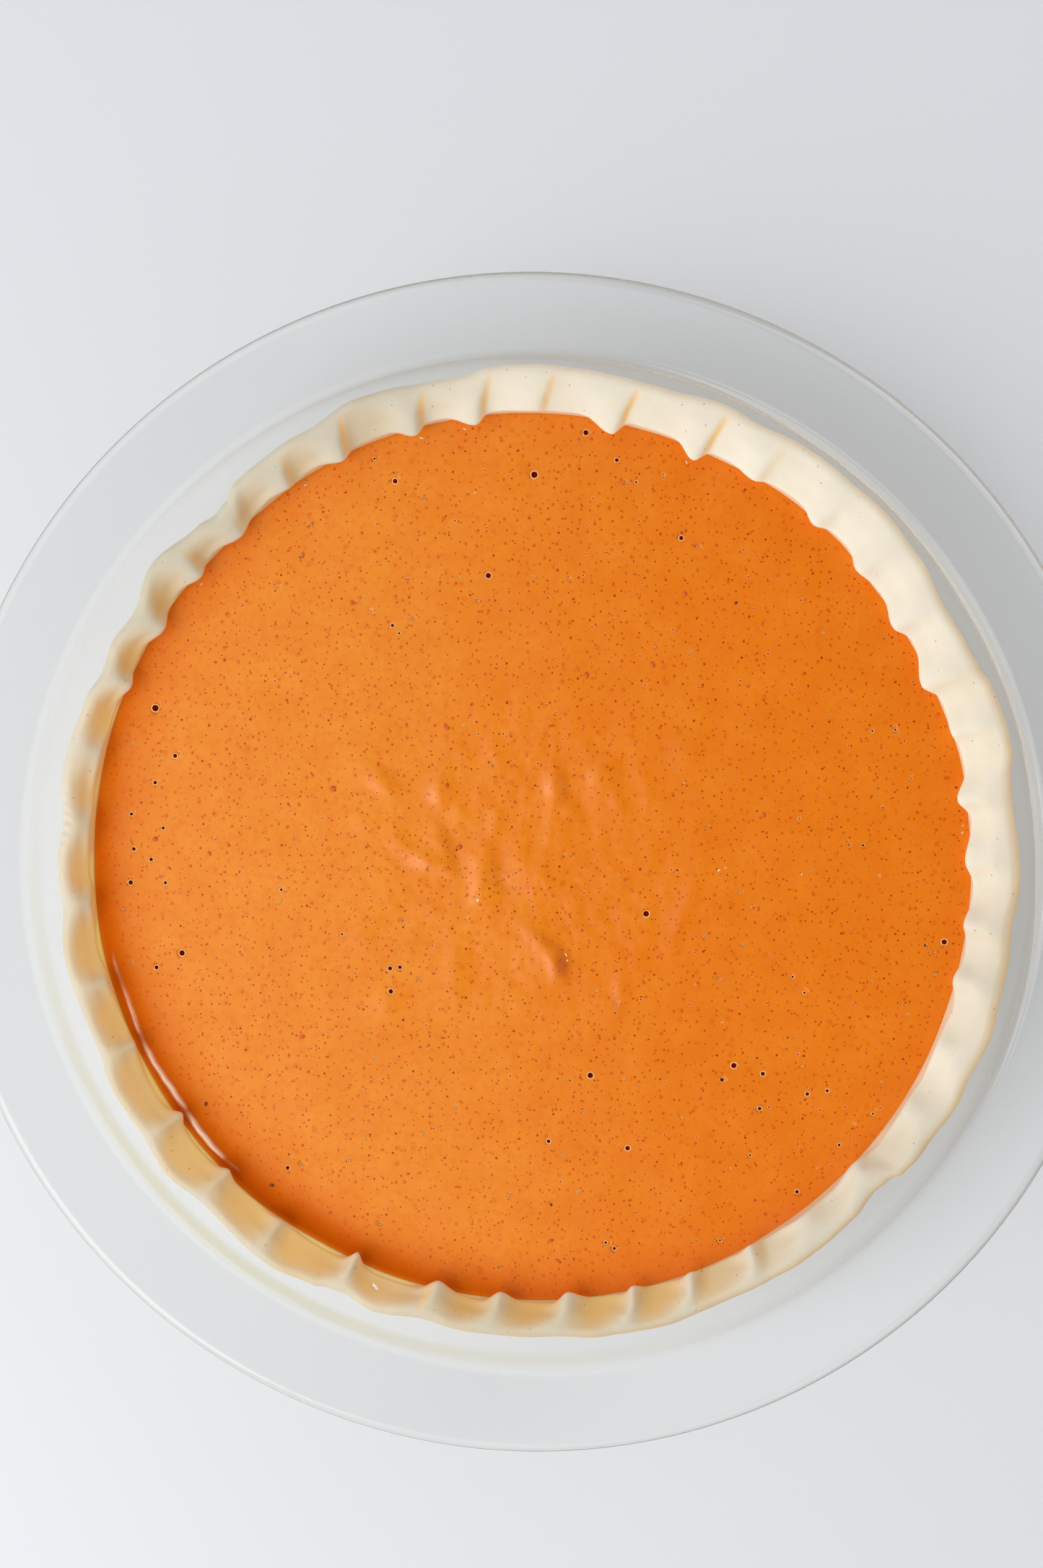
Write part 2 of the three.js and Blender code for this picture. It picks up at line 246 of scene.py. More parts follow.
# Air bubbles that broke at the surface: x, y and the width of the mouth.
BUBBLES = [
    (1.8, 89, 1.45), (13.5, 98.4, 1.2), (20.5, 92.2, 0.9), (-8.7, 66.2, 1.25), (-30, 87.7, 1.1),
    (-34.7, 92.8, 0.6), (24.9, 87.2, 0.6), (-23.1, 83.7, 0.5), (-30.7, 54.9, 0.8),
    (-29.2, 53.1, 0.6), (35.1, 74.6, 1), (27.4, -10.8, 1.3), (94.8, -16.6, 1.2), (90.5, -17.4, 0.6),
    (76.4, 5.2, 0.6), (78.3, 31.1, 0.6), (83.4, 31.4, 0.6), (62, 11.2, 0.5), (60.7, -24.9, 0.6),
    (63.4, -28.5, 0.6), (-85.8, 35.9, 1.5), (-81.3, 24.9, 1), (-86, 18.7, 0.9), (-91.6, 11.4, 0.8),
    (-84.2, 8.2, 0.8), (-91.1, 3.3, 0.9), (-87.1, 0.9, 0.9), (-91.9, -4.5, 1.1), (-83.8, -4.5, 0.8),
    (-80, -20.8, 1.3), (-86, -24.2, 1), (-56.7, -5.9, 0.7), (-42.6, -16.1, 0.6), (-31.5, -23.9, 1),
    (-29.2, -23.6, 0.9), (-31.3, -29.2, 1.1), (47.5, -45.4, 1.25), (44.8, -48.7, 0.9),
    (54.1, -47.2, 1), (64.2, -51.7, 0.9), (68.7, -50.9, 0.8), (53.4, -55.2, 0.9), (79.1, -56, 0.6),
    (71.5, -63.3, 0.7), (51.3, -66, 0.6), (23.3, -64.8, 1.1), (62, -74.2, 0.9), (44.5, -85.7, 0.6),
    (-55.5, -70.6, 0.9), (18.3, -86.8, 0.7), (20.3, -88.1, 0.8), (14.7, -48.1, 1.3),
    (5.1, -63.5, 0.9),
]
SMALL_BUBBLES = 90
SMALL_BUBBLE_WIDTHS = (0.35, 0.6)
BUBBLE_SWELL = 1.2
BUBBLE_DEPTH = 0.42
BUBBLE_RIM_THICK = 0.07
BUBBLE_RIM_MORE = 0.05
BUBBLE_RIM_SINK = 0.3
# Where a bubble's inside gets painted shade: how far out in half-widths, and between which depths
# in widths.
PIT_REACH = 1.3
PIT_DEPTHS = (0.1, 1.5)

# Spice flecks, x, y, length, width and direction: large soft red ones, and dark ones.
RED_FLECKS = [
    (-86.1, 5.6, 1.7, 1.2, 40), (-73.4, 2.4, 1.4, 0.9, 110), (-18.3, 18.2, 1.8, 1, 70),
    (5.6, -86.6, 1.8, 0.9, 20), (7.4, -91.3, 2, 0.8, 150), (-18.2, 31.5, 1.5, 1.4, 0),
    (13.7, 43.5, 1.2, 1.8, 10), (28.7, 46, 1.8, 1.2, 120), (-15.4, 4.2, 1.8, 1.4, 30),
    (-44.5, 17.5, 1.4, 1.7, 60), (54, 12, 1.5, 0.9, 80), (-52, -40, 1.7, 1, 15),
    (30.5, -8, 1.4, 0.8, 45), (36, 62, 1.4, 1, 100), (-40, 60, 1.5, 1, 35),
]
DARK_FLECKS = [
    (-59.2, -74.7, 1.4, 1.1, 20), (-74.6, -55.9, 1.2, 1, 70), (5.7, -78.2, 1, 0.7, 110),
    (47.5, 59.9, 1, 0.7, 50), (34.4, -0.8, 0.8, 0.6, 0), (36.8, 36.2, 0.6, 0.5, 0),
    (-39.5, 6.5, 0.5, 0.4, 0), (-46.5, 46, 0.5, 0.4, 30), (-14, -30.5, 0.7, 0.5, 150),
    (5.4, -5, 0.6, 0.4, 20), (-28.5, -35.8, 0.7, 0.6, 0), (65, -10, 0.6, 0.4, 60),
]
# Bits of pale froth on the filling, some of them standing in for small glints, a painted highlight;
# and scraps of dough with the height they lie at.
FROTH_AND_GLINTS = [
    (9.1, -20.3, 1.1, 0.3, 120), (9.4, -21.6, 0.7, 0.35, 60), (43.9, -0.7, 0.8, 0.5, 20),
    (45.4, -0.1, 0.7, 0.25, 110), (-11.2, -7.9, 1, 0.7, 70), (62.6, -1.4, 0.6, 0.3, 70),
    (-14.1, 99.4, 1.2, 0.35, 150), (-23.9, 97.4, 1.2, 0.4, 165), (-50.6, 86.9, 0.9, 0.35, 30),
    (-74.8, 64.4, 0.8, 0.35, 60), (36.2, 91.6, 1.2, 0.3, 115), (98.6, 8.2, 0.8, 0.35, 60),
    (98.7, 9.8, 0.6, 0.3, 100), (98.4, -6.2, 0.7, 0.3, 20), (-11.8, 85, 0.5, 0.3, 0),
]
DOUGH_SCRAPS = [(-34.4, -96.8, 34.4, 2.0, 0.7, 130)]

# Custard colours: linear red, green, blue and opacity, with mottled pairs for its two sides first.
ORANGE = [(0.865, 0.207, 0.005, 1), (0.895, 0.236, 0.009, 1)]
GOLDEN = [(0.885, 0.258, 0.013, 1), (0.915, 0.291, 0.02, 1)]
GRAINY = (0.82, 0.165, 0.002, 1)
HALO = (0.95, 0.5, 0.2, 1)
# Painted shade: the dark cores of the tiny pinholes.
PINHOLE_SHADE = (0.4, 0.02, 0, 1)
# A painted highlight along the ridge of skin.
SKIN_HIGHLIGHT = (1, 0.68, 0.4, 1)
# Painted shade inside the bubbles' hollows.
PIT_SHADE = (0.6, 0.048, 0.001, 1)
# Near the crust: a redder painted shade, a darker painted shadow, also used in the hollows between
# the folds, and a painted glow right along the rim.
EDGE_SHADES = {
    "red_shade": (0.86, 0.125, 0, 1), "deep": (0.5, 0.072, 0, 1), "rim": (0.86, 0.19, 0.002, 1),
}
# Ground spice, from faint blots to dark grains: cells to the metre, radius in cells, share of the
# cells with a dot, strength and colour.
SPICE_DOTS = [
    (260, 0.13, 0.3, 0.4, (0.76, 0.12, 0.001, 1)),
    (340, 0.1, 0.85, 0.6, (0.63, 0.07, 0.001, 1)),
    (430, 0.07, 0.8, 0.9, (0.48, 0.024, 0, 1)),
    (210, 0.042, 0.65, 0.85, (0.27, 0.014, 0, 1)),
]

# Dough colours: pairs for plain dough and for the thumbprints' warm painted shade, then both under
# darker painted shade.
CREAM = [(0.9, 0.8, 0.645, 1), (0.93, 0.84, 0.69, 1)]
WARM_SHADE = [(0.97, 0.595, 0.19, 1), (0.985, 0.635, 0.23, 1)]
DARK_SHADE_CREAM = (0.655, 0.59, 0.455, 1)
DARK_WARM_SHADE = (0.71, 0.42, 0.095, 1)
# Painted shade in the creases, which also serves as a painted warm glow on the ledge.
CREASE_SHADE_LEDGE_GLOW = (1, 0.575, 0.15, 1)
DOUGH_SPECKS = (0.42, 0.22, 0.08, 1)

# Glass colours: nearly all of it; where it bends, its own tint with a painted reflection of the
# crust; and its outermost edge, its own tint with painted shade.
GLASS_CLEAR = (0.992, 1, 0.996, 1)
GLASS_BENT = (0.83, 0.77, 0.52, 1)
GLASS_EDGE = (0.36, 0.42, 0.37, 1)

# Plain materials: how fine the mottling is, its two colours, and the roughness.
PLAIN_MATERIALS = {
    "bubble_skin": (400, (1, 0.48, 0.12, 1), (1, 0.58, 0.22, 1), 0.25),
    # Pale froth, and grains that stand in for small glints as a painted highlight.
    "pale_froth_and_glints": (700, (0.93, 0.74, 0.56, 1), (0.98, 0.88, 0.78, 1), 0.15),
    "red_spice": (900, (0.68, 0.085, 0.002, 1), (0.8, 0.13, 0.004, 1), 0.4),
    "dark_spice": (900, (0.15, 0.018, 0.002, 1), (0.27, 0.035, 0.003, 1), 0.4),
    "pale_floor": (3, (0.76, 0.775, 0.8, 1), (0.79, 0.8, 0.815, 1), 0.5),
}

# Soft lights, in metres: where each stands, where it faces, its size and its power.
LIGHTS = {
    "window": ((-0.68, -0.37, 0.70), (0, 0, 0), (0.9, 0.9), 6.4),
    "far_wall": ((0.90, 0.88, 0.50), (0.12, 0.12, 0), (0.9, 0.6), 1.5),
}
# The room is pale, with a dark patch overhead: its direction, its stretch, where it fades, and the
# strength of the light from inside it and from outside.
DARK_PATCH = (0.20, 0.08, 0.97)
DARK_STRETCH = (1, 0.5, 1)
DARK_FADE = (0.25, 0.38)
ROOM_LIGHT = (0.02, 0.80)
ROOM_TINT = (0.96, 0.98, 1.0, 1)
FLOOR_SIZE = 4

# Camera: aimed at a point in the rim's plane from a steep angle.
LENS = 60.0
SENSOR = 36
CAMERA_DISTANCE = 590.0
CAMERA_TILT = 6.82
CAMERA_SIDE = 48.5
CAMERA_TARGET = (-0.5, 19.2)
RIM_PLANE = 37.0


# ---- Sections ----


def heading(slope):
    return Vector((math.cos(math.radians(slope)), math.sin(math.radians(slope))))


def moved_corner(corner, slope_in, slope_out, distance):
    """The corner between two straight walls, moved to the left of the way they are drawn."""
    reach = distance / math.cos(math.radians(slope_out - slope_in) / 2)
    return corner + heading((slope_in + slope_out) / 2 + 90) * reach


def rounded_corner(corner, slope_in, slope_out, radius, steps):
    """The arc that rounds the corner between two straight walls."""
    turn = slope_out - slope_in
    side = math.copysign(90, turn)
    start = corner - heading(slope_in) * radius * math.tan(abs(math.radians(turn)) / 2)
    centre = start + heading(slope_in + side) * radius
    slopes = [slope_in + turn * step / steps for step in range(steps + 1)]
    return [centre + heading(slope - side) * radius for slope in slopes]


RIM_CENTRE = Vector((DISH_RADIUS - GLASS / 2, DISH_HEIGHT - GLASS / 2))
FLANGE_END = RIM_CENTRE + heading(FLANGE_SLOPE + 90) * GLASS / 2
BEND_RADIUS = DISH_RADIUS - FLANGE_WIDTH
FLANGE_FALL = (FLANGE_END.x - BEND_RADIUS) * math.tan(math.radians(FLANGE_SLOPE))
BEND_CORNER = Vector((BEND_RADIUS, FLANGE_END.y - FLANGE_FALL))
FLOOR_CORNER = Vector(
    (BEND_RADIUS - (BEND_CORNER.y - GLASS) / math.tan(math.radians(WALL_SLOPE)), GLASS)
)


def floor_fillet(inset, steps):
    corner = moved_corner(FLOOR_CORNER, 0, WALL_SLOPE, inset)
    return rounded_corner(corner, 0, WALL_SLOPE, BASE_FILLET - inset, steps)


def bend_fillet(inset, steps):
    corner = moved_corner(BEND_CORNER, WALL_SLOPE, FLANGE_SLOPE, inset)
    return rounded_corner(corner, WALL_SLOPE, FLANGE_SLOPE, BEND_FILLET + inset, steps)


def wall_point(inset, height):
    corner = moved_corner(FLOOR_CORNER, 0, WALL_SLOPE, inset)
    return Vector((corner.x + (height - corner.y) / math.tan(math.radians(WALL_SLOPE)), height))


def wall_height(radius):
    return FLOOR_CORNER.y + (radius - FLOOR_CORNER.x) * math.tan(math.radians(WALL_SLOPE))


# ---- Making pieces ----


def turned(section, columns):
    """A closed shape: a section spun about Z. Each vertex keeps its row in the section."""
    sector = 2 * math.pi / SECTORS
    bm = bmesh.new()
    row = bm.verts.layers.int.new("row")
    previous = None
    for index, (radius, height) in enumerate(section):
        vert = bm.verts.new((radius, 0, height))
        vert[row] = index
        if previous is not None:
            bm.edges.new((previous, vert))
        previous = vert
    bmesh.ops.spin(
        bm, geom=bm.verts[:] + bm.edges[:], axis=(0, 0, 1), cent=(0, 0, 0),
        angle=sector, steps=columns // SECTORS, use_duplicate=False,
    )
    bmesh.ops.spin(
        bm, geom=bm.verts[:] + bm.edges[:] + bm.faces[:], axis=(0, 0, 1), cent=(0, 0, 0),
        angle=2 * math.pi - sector, steps=SECTORS - 1, use_duplicate=True,
    )
    bmesh.ops.remove_doubles(bm, verts=bm.verts, dist=1e-3)
    bmesh.ops.recalc_face_normals(bm, faces=bm.faces)
    return bm


def mesh_from(bm, name):
    for face in bm.faces:
        face.smooth = True
    mesh = bpy.data.meshes.new(name)
    bm.to_mesh(mesh)
    bm.free()
    return mesh


def points_of(mesh):
    points = np.empty(len(mesh.vertices) * 3)
    mesh.vertices.foreach_get("co", points)
    return points.reshape(-1, 3)


def rows_of(mesh):
    """Each vertex's row in the section that the mesh was turned from."""
    rows = np.empty(len(mesh.vertices), dtype=np.int32)
    mesh.attributes["row"].data.foreach_get("value", rows)
    mesh.attributes.remove(mesh.attributes["row"])
    return rows


def shade_mask(mesh, name, values):
    """Gives each vertex a value that the material reads."""
    mask = mesh.attributes.new(name, "FLOAT", "POINT")
    mask.data.foreach_set("value", np.ascontiguousarray(np.clip(values, 0, 1), dtype=np.float32))


def add_object(name, data):
    made = bpy.data.objects.new(name, data)
    bpy.context.scene.collection.objects.link(made)
    return made


def piece_from(mesh, material, node=None):
    """Makes a mesh in millimetres a piece in metres that rides on the pie."""
    mesh.transform(Matrix.Scale(MM, 4))
    mesh.materials.append(material)
    piece = add_object(mesh.name, mesh)
    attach(piece, "root")
    if node:
        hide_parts(node)
    return piece


# ---- Materials ----


class Shader:
    """A node tree with short ways to add nodes and to set or link their inputs."""

    def __init__(self, tree):
        self.tree = tree

    def node(self, kind, inputs=None, **settings):
        node = self.tree.nodes.new("ShaderNode" + kind)
        for name, value in settings.items():
            setattr(node, name, value)
        for name, value in (inputs or {}).items():
            self.set(node.inputs[name], value)
        return node

    def set(self, socket, value):
        if isinstance(value, bpy.types.NodeSocket):
            self.tree.links.new(value, socket)
        else:
            socket.default_value = value

    def math(self, operation, first, second):
        return self.node("Math", {0: first, 1: second}, operation=operation).outputs["Value"]

    def times(self, first, second):
        return self.math("MULTIPLY", first, second)

    def ramp(self, value, start, end, low=0.0, high=1.0):
        inputs = {"Value": value, "From Min": start, "From Max": end, "To Min": low, "To Max": high}
        return self.node("MapRange", inputs, interpolation_type="SMOOTHSTEP").outputs["Result"]

    def mix(self, factor, first, second):
        """A blend of two colours, whose sockets share their names."""
        node = self.node("Mix", data_type="RGBA")
        self.set(node.inputs[0], factor)
        self.set(node.inputs[6], first)
        self.set(node.inputs[7], second)
        return node.outputs[2]

    def place(self):
        return self.node("TexCoord").outputs["Object"]

    def noise(self, place, scale, detail):
        inputs = {"Vector": place, "Scale": scale, "Detail": detail}
        return self.node("TexNoise", inputs).outputs["Fac"]

    def mask(self, name):
        return self.node("Attribute", attribute_name=name).outputs["Fac"]


def new_material(name):
    """A material's shader, and the Principled node that it ends in."""
    material = bpy.data.materials.new(name)
    material.use_nodes = True
    return material, Shader(material.node_tree), material.node_tree.nodes["Principled BSDF"]


def plain_material(name):
    """A material that only varies between two close colours."""
    scale, first, second, roughness = PLAIN_MATERIALS[name]
    material, shader, surface = new_material(name)
    tone = shader.noise(shader.place(), scale, 2)
    shader.set(surface.inputs["Base Color"], shader.mix(tone, first, second))
    surface.inputs["Roughness"].default_value = roughness
    return material


def dots_group():
    """Round dots strewn at random: their cores, and the rings close round them."""
    tree = bpy.data.node_groups.new("strewn_dots", "ShaderNodeTree")
    sockets = tree.interface
    sockets.new_socket("Vector", in_out="INPUT", socket_type="NodeSocketVector")
    for name in ("Scale", "Radius", "Share"):
        sockets.new_socket(name, in_out="INPUT", socket_type="NodeSocketFloat")
    for name in ("Core", "Ring"):
        sockets.new_socket(name, in_out="OUTPUT", socket_type="NodeSocketFloat")
    shader = Shader(tree)
    given = tree.nodes.new("NodeGroupInput").outputs
    cells = shader.node(
        "TexVoronoi", {"Vector": given["Vector"], "Scale": given["Scale"]}, voronoi_dimensions="2D",
    )
    chance = shader.node("SeparateColor", {"Color": cells.outputs["Color"]}).outputs
    present = shader.math("LESS_THAN", chance["Red"], given["Share"])
    radius = shader.times(given["Radius"], shader.math("ADD", chance["Green"], 0.5))
    away = shader.math("DIVIDE", cells.outputs["Distance"], radius)
    core = shader.times(present, shader.ramp(away, 1.1, 0.75))
    ring = shader.times(shader.ramp(away, 0.9, 1.2), shader.ramp(away, 2.0, 1.4))
    result = tree.nodes.new("NodeGroupOutput").inputs
    tree.links.new(core, result["Core"])
    tree.links.new(shader.times(present, ring), result["Ring"])
    return tree


DOTS = dots_group()


def strewn_dots(shader, place, scale, radius, share):
    """Dots of the given number to the metre and radius in cells, on a share of the cells."""
    node = shader.tree.nodes.new("ShaderNodeGroup")
    node.node_tree = DOTS
    for name, value in {"Vector": place, "Scale": scale, "Radius": radius, "Share": share}.items():
        shader.set(node.inputs[name], value)
    return node.outputs["Core"], node.outputs["Ring"]


def clear_glass():
    material, shader, glass = new_material("clear_glass")
    # The bend's tint is partly the glass's own and partly a painted reflection of the crust; the
    # outermost edge's is partly its own and partly painted shade.
    colour = shader.mix(shader.mask("bend"), GLASS_CLEAR, GLASS_BENT)
    colour = shader.mix(shader.mask("rim"), colour, GLASS_EDGE)
    shader.set(glass.inputs["Base Color"], colour)
    glass.inputs["Roughness"].default_value = 0.0
    glass.inputs["IOR"].default_value = 1.5
    glass.inputs["Transmission Weight"].default_value = 1.0
    path = shader.node("LightPath")
    result = glass.outputs["BSDF"]
    for ray in ("Is Diffuse Ray", "Is Shadow Ray"):
        clear = shader.node("BsdfTransparent", {"Color": (1, 1, 1, 1)})
        mix = shader.node("MixShader", {0: path.outputs[ray], 1: result, 2: clear.outputs["BSDF"]})
        result = mix.outputs["Shader"]
    shader.set(material.node_tree.nodes["Material Output"].inputs["Surface"], result)
    return material


def raw_dough():
    material, shader, dough = new_material("raw_dough")
    place = shader.place()
    mottle = shader.ramp(shader.noise(place, 70, 4), 0.3, 0.7)
    # Painted shade: warm in the thumbprints and where faces turn from the window, darker by angle
    # round the pie, and in the creases, which also give the ledge a painted warm glow.
    hollow = shader.mask("hollow")
    colour = shader.mix(hollow, shader.mix(mottle, *CREAM), shader.mix(mottle, *WARM_SHADE))
    darkened = shader.mix(hollow, DARK_SHADE_CREAM, DARK_WARM_SHADE)
    colour = shader.mix(shader.mask("dark_shade"), colour, darkened)
    colour = shader.mix(shader.mask("crease_shade_ledge_glow"), colour, CREASE_SHADE_LEDGE_GLOW)
    specks, _ = strewn_dots(shader, place, 230, 0.035, 0.35)
    colour = shader.mix(shader.times(specks, 0.6), colour, DOUGH_SPECKS)
    shader.set(dough.inputs["Base Color"], colour)
    dough.inputs["Roughness"].default_value = 0.5
    dough.inputs["Subsurface Weight"].default_value = 0.5
    dough.inputs["Subsurface Radius"].default_value = (1.0, 0.45, 0.15)
    dough.inputs["Subsurface Scale"].default_value = 0.002
    grain = shader.noise(place, 900, 3)
    bump = shader.node("Bump", {"Height": grain, "Strength": 0.12, "Distance": 0.0004})
    shader.set(dough.inputs["Normal"], bump.outputs["Normal"])
    return material


def pumpkin_custard():
    material, shader, custard = new_material("pumpkin_custard")
    place = shader.place()
    mottle = shader.ramp(shader.noise(place, 130, 5), 0.3, 0.7)
    drift = shader.ramp(shader.noise(place, 22, 3), 0.35, 0.65)
    across = shader.node("SeparateXYZ", {"Vector": place}).outputs["X"]
    across = shader.math("ADD", across, shader.times(drift, 0.02))
    orange = shader.mix(mottle, *ORANGE)
    golden = shader.mix(mottle, *GOLDEN)
    colour = shader.mix(shader.ramp(across, 0.065, -0.04), orange, golden)
    grain = shader.ramp(shader.noise(place, 520, 3), 0.42, 0.68)
    colour = shader.mix(shader.times(grain, 0.35), colour, GRAINY)
    for scale, radius, share, strength, tint in SPICE_DOTS:
        dots, _ = strewn_dots(shader, place, scale, radius, share)
        colour = shader.mix(shader.times(dots, strength), colour, tint)
    # Pinholes: dark cores of painted shade, with pale rings.
    pinholes, halos = strewn_dots(shader, place, 165, 0.026, 0.5)
    colour = shader.mix(shader.times(halos, 0.6), colour, HALO)
    colour = shader.mix(pinholes, colour, PINHOLE_SHADE)
    # Near the crust: redder painted shade, a darker painted shadow and a painted glow along the
    # rim.
    for name, tint in EDGE_SHADES.items():
        colour = shader.mix(shader.mask(name), colour, tint)
    # A painted highlight along the skin's ridge, which also gets a clear coat.
    skin = shader.mask("skin")
    colour = shader.mix(shader.times(skin, 0.9), colour, SKIN_HIGHLIGHT)
    # Painted shade inside the bubbles' hollows.
    pit = shader.mask("pit")
    colour = shader.mix(pit, colour, PIT_SHADE)
    shader.set(custard.inputs["Base Color"], colour)
    dullness = shader.ramp(shader.mask("red_shade"), 0.2, 0.7, 0.25, 0.12)
    dullness = shader.math("ADD", dullness, shader.times(pit, 0.6))
    shader.set(custard.inputs["Roughness"], dullness)
    shader.set(custard.inputs["Coat Weight"], skin)
    custard.inputs["Specular IOR Level"].default_value = 0.4
    custard.inputs["Coat Roughness"].default_value = 0.06
    custard.inputs["Coat IOR"].default_value = 1.9
    custard.inputs["Subsurface Weight"].default_value = 0.25
    custard.inputs["Subsurface Radius"].default_value = (1.0, 0.25, 0.04)
    custard.inputs["Subsurface Scale"].default_value = 0.003
    holes = shader.times(pinholes, -0.1)
    height = shader.math("ADD", shader.noise(place, 340, 3), holes)
    bump = shader.node("Bump", {"Height": height, "Strength": 0.06, "Distance": 0.0003})
    shader.set(custard.inputs["Normal"], bump.outputs["Normal"])
    return material


# ---- Dish ----


def dish_section():
    turns = range(-90, 91, 10)
    rim = [RIM_CENTRE + heading(FLANGE_SLOPE + turn) * GLASS / 2 for turn in turns]
    return [
        Vector((0, 0)),
        *floor_fillet(-GLASS, 14),
        *bend_fillet(-GLASS, 8),
        *rim,
        *reversed(bend_fillet(0, 12)),
        *[Vector((radius, wall_height(radius))) for radius in reversed(WALL_RADII)],
        *reversed(floor_fillet(0, 14)),
        Vector((0, GLASS)),
    ]


def angles_of(points):
    return np.degrees(np.arctan2(points[:, 1], points[:, 0]))


def make_dish(material):
    section = [Vector((min(p.x, DISH_RADIUS), min(p.y, DISH_HEIGHT))) for p in dish_section()]
    mesh = mesh_from(turned(section, DISH_COLUMNS), "glass_dish")
    upper = rows_of(mesh) > len(section) // 2
    points = points_of(mesh)
    angles = angles_of(points)
    radius = np.hypot(points[:, 0], points[:, 1])
    # Painted shade on the outermost edge and a painted reflection of the crust at the bend, each
    # mixed with the glass's own tint.
    outermost = np.clip((radius - DISH_RADIUS + EDGE_TINT_WIDTH) / (0.4 * EDGE_TINT_WIDTH), 0, 1)
    shade_mask(mesh, "rim", outermost * np.clip(1.1 - swell(angles, *EDGE_CLEAR), 0, 1))
    bent = np.exp(-(((radius - BEND_TINT_RADIUS) / BEND_TINT_WIDTH) ** 4))
    shade_mask(mesh, "bend", upper * bent * swell(angles, *BEND_TINT))
    piece_from(mesh, material, "dish")


# ---- Crust ----


def wrapped(degrees):
    """An angle brought between -180 and 180."""
    return (degrees + 180) % 360 - 180


def swell(angles, middle, spread):
    """A smooth swell round the pie: 1 at the middle angle, fading to 0 past the spread."""
    return np.exp(-((wrapped(angles - middle) / spread) ** 2))


def outline(angles, rows):
    """A smooth wavy line round the pie through rows of an angle and a value."""
    at, values = np.array(rows).T
    at = np.concatenate([at[-1:] - 360, at, at[:1] + 360])
    values = np.concatenate([values[-1:], values, values[:1]])
    angles = np.asarray(angles) % 360
    after = np.clip(np.searchsorted(at, angles, side="right"), 1, len(at) - 1)
    share = (angles - at[after - 1]) / (at[after] - at[after - 1])
    share = share * share * (3 - 2 * share)
    return values[after - 1] + (values[after] - values[after - 1]) * share


PRINT_MIDDLES = CRESTS + PRINT_PLACE * ((np.roll(CRESTS, -1) - CRESTS) % 360)
EDGE_OUTLINE = list(zip(PRINT_MIDDLES, EDGE_RADII))
LEDGE_OUTLINE = list(zip(PRINT_MIDDLES, LEDGE_WIDTHS))


def edge_radius(angles):
    """Radius of the crust's inner face where the filling meets it."""
    return outline(angles, EDGE_OUTLINE)


def lean_of(crest):
    """How far a crest leans clockwise from its tip to the lip."""
    return sum(most * float(swell(crest, middle, spread)) for most, middle, spread in LEANS)


def crest_weights(angles, widening, lean=0.0, lopsided=0.0):
    """How strongly each flute's crest shapes the edge at each angle, from 0 to 1."""
    weights = []
    for crest, _, after, before, *_ in FLUTES:
        away = wrapped(angles - crest + lean * lean_of(crest))
        after = after * (1 + lopsided * 0.9 * float(swell(crest, *LATE)))
        before = before * (1 + lopsided * 0.8 * float(swell(crest, *EARLY)))
        width = np.where(away > 0, after, before) * widening
        power = 2.2 - 0.7 * float(swell(crest, *POINTED))
        weights.append(np.exp(-((np.abs(away) / width) ** power)))
    return np.array(weights)


def dips(angles, widening, lean):
    """How deep the thumbprints are at each angle, from 0 on a crest to 1 in the deepest."""
    depth = PRINT_DEPTHS[np.searchsorted(CRESTS, angles, side="right") - 1]
    return depth * np.prod(1 - crest_weights(angles, widening, lean, 1.0), axis=0)


def creases(angles, lean):
    """How deep the narrow creases beside the crests are at each angle."""
    total = np.zeros_like(angles)
    for crest, _, _, _, depth, *_ in FLUTES:
        away = wrapped(angles - crest + CREASE_BEFORE + lean * lean_of(crest))
        total += depth * np.exp(-((away / CREASE_WIDTH) ** 2))
    return total


def edge_row(angles, dark_shade, shaded_lip, row):
    """How deep a row's thumbprints and creases are, and how much warm and how much darker painted
    shade it gets.
    """
    widening, lean, warm_print, warm_crest, dark_all, dark_crest = row
    dip = dips(angles, widening, lean)
    warm = warm_print * dip + warm_crest * shaded_lip * (1 - dip)
    darkened = np.clip(dark_shade + shaded_lip * (dark_all + dark_crest * (1 - dip)), 0, 1)
    return dip, creases(angles, lean), warm, darkened


def wrinkles(angles):
    """How deep the fine wrinkles across the lip are at each angle."""
    middle, spread, gap = WRINKLES
    wave = swell(angles, middle, spread) * np.cos(2 * np.pi * (angles - middle) / gap)
    return WRINKLE_DEPTH * wave


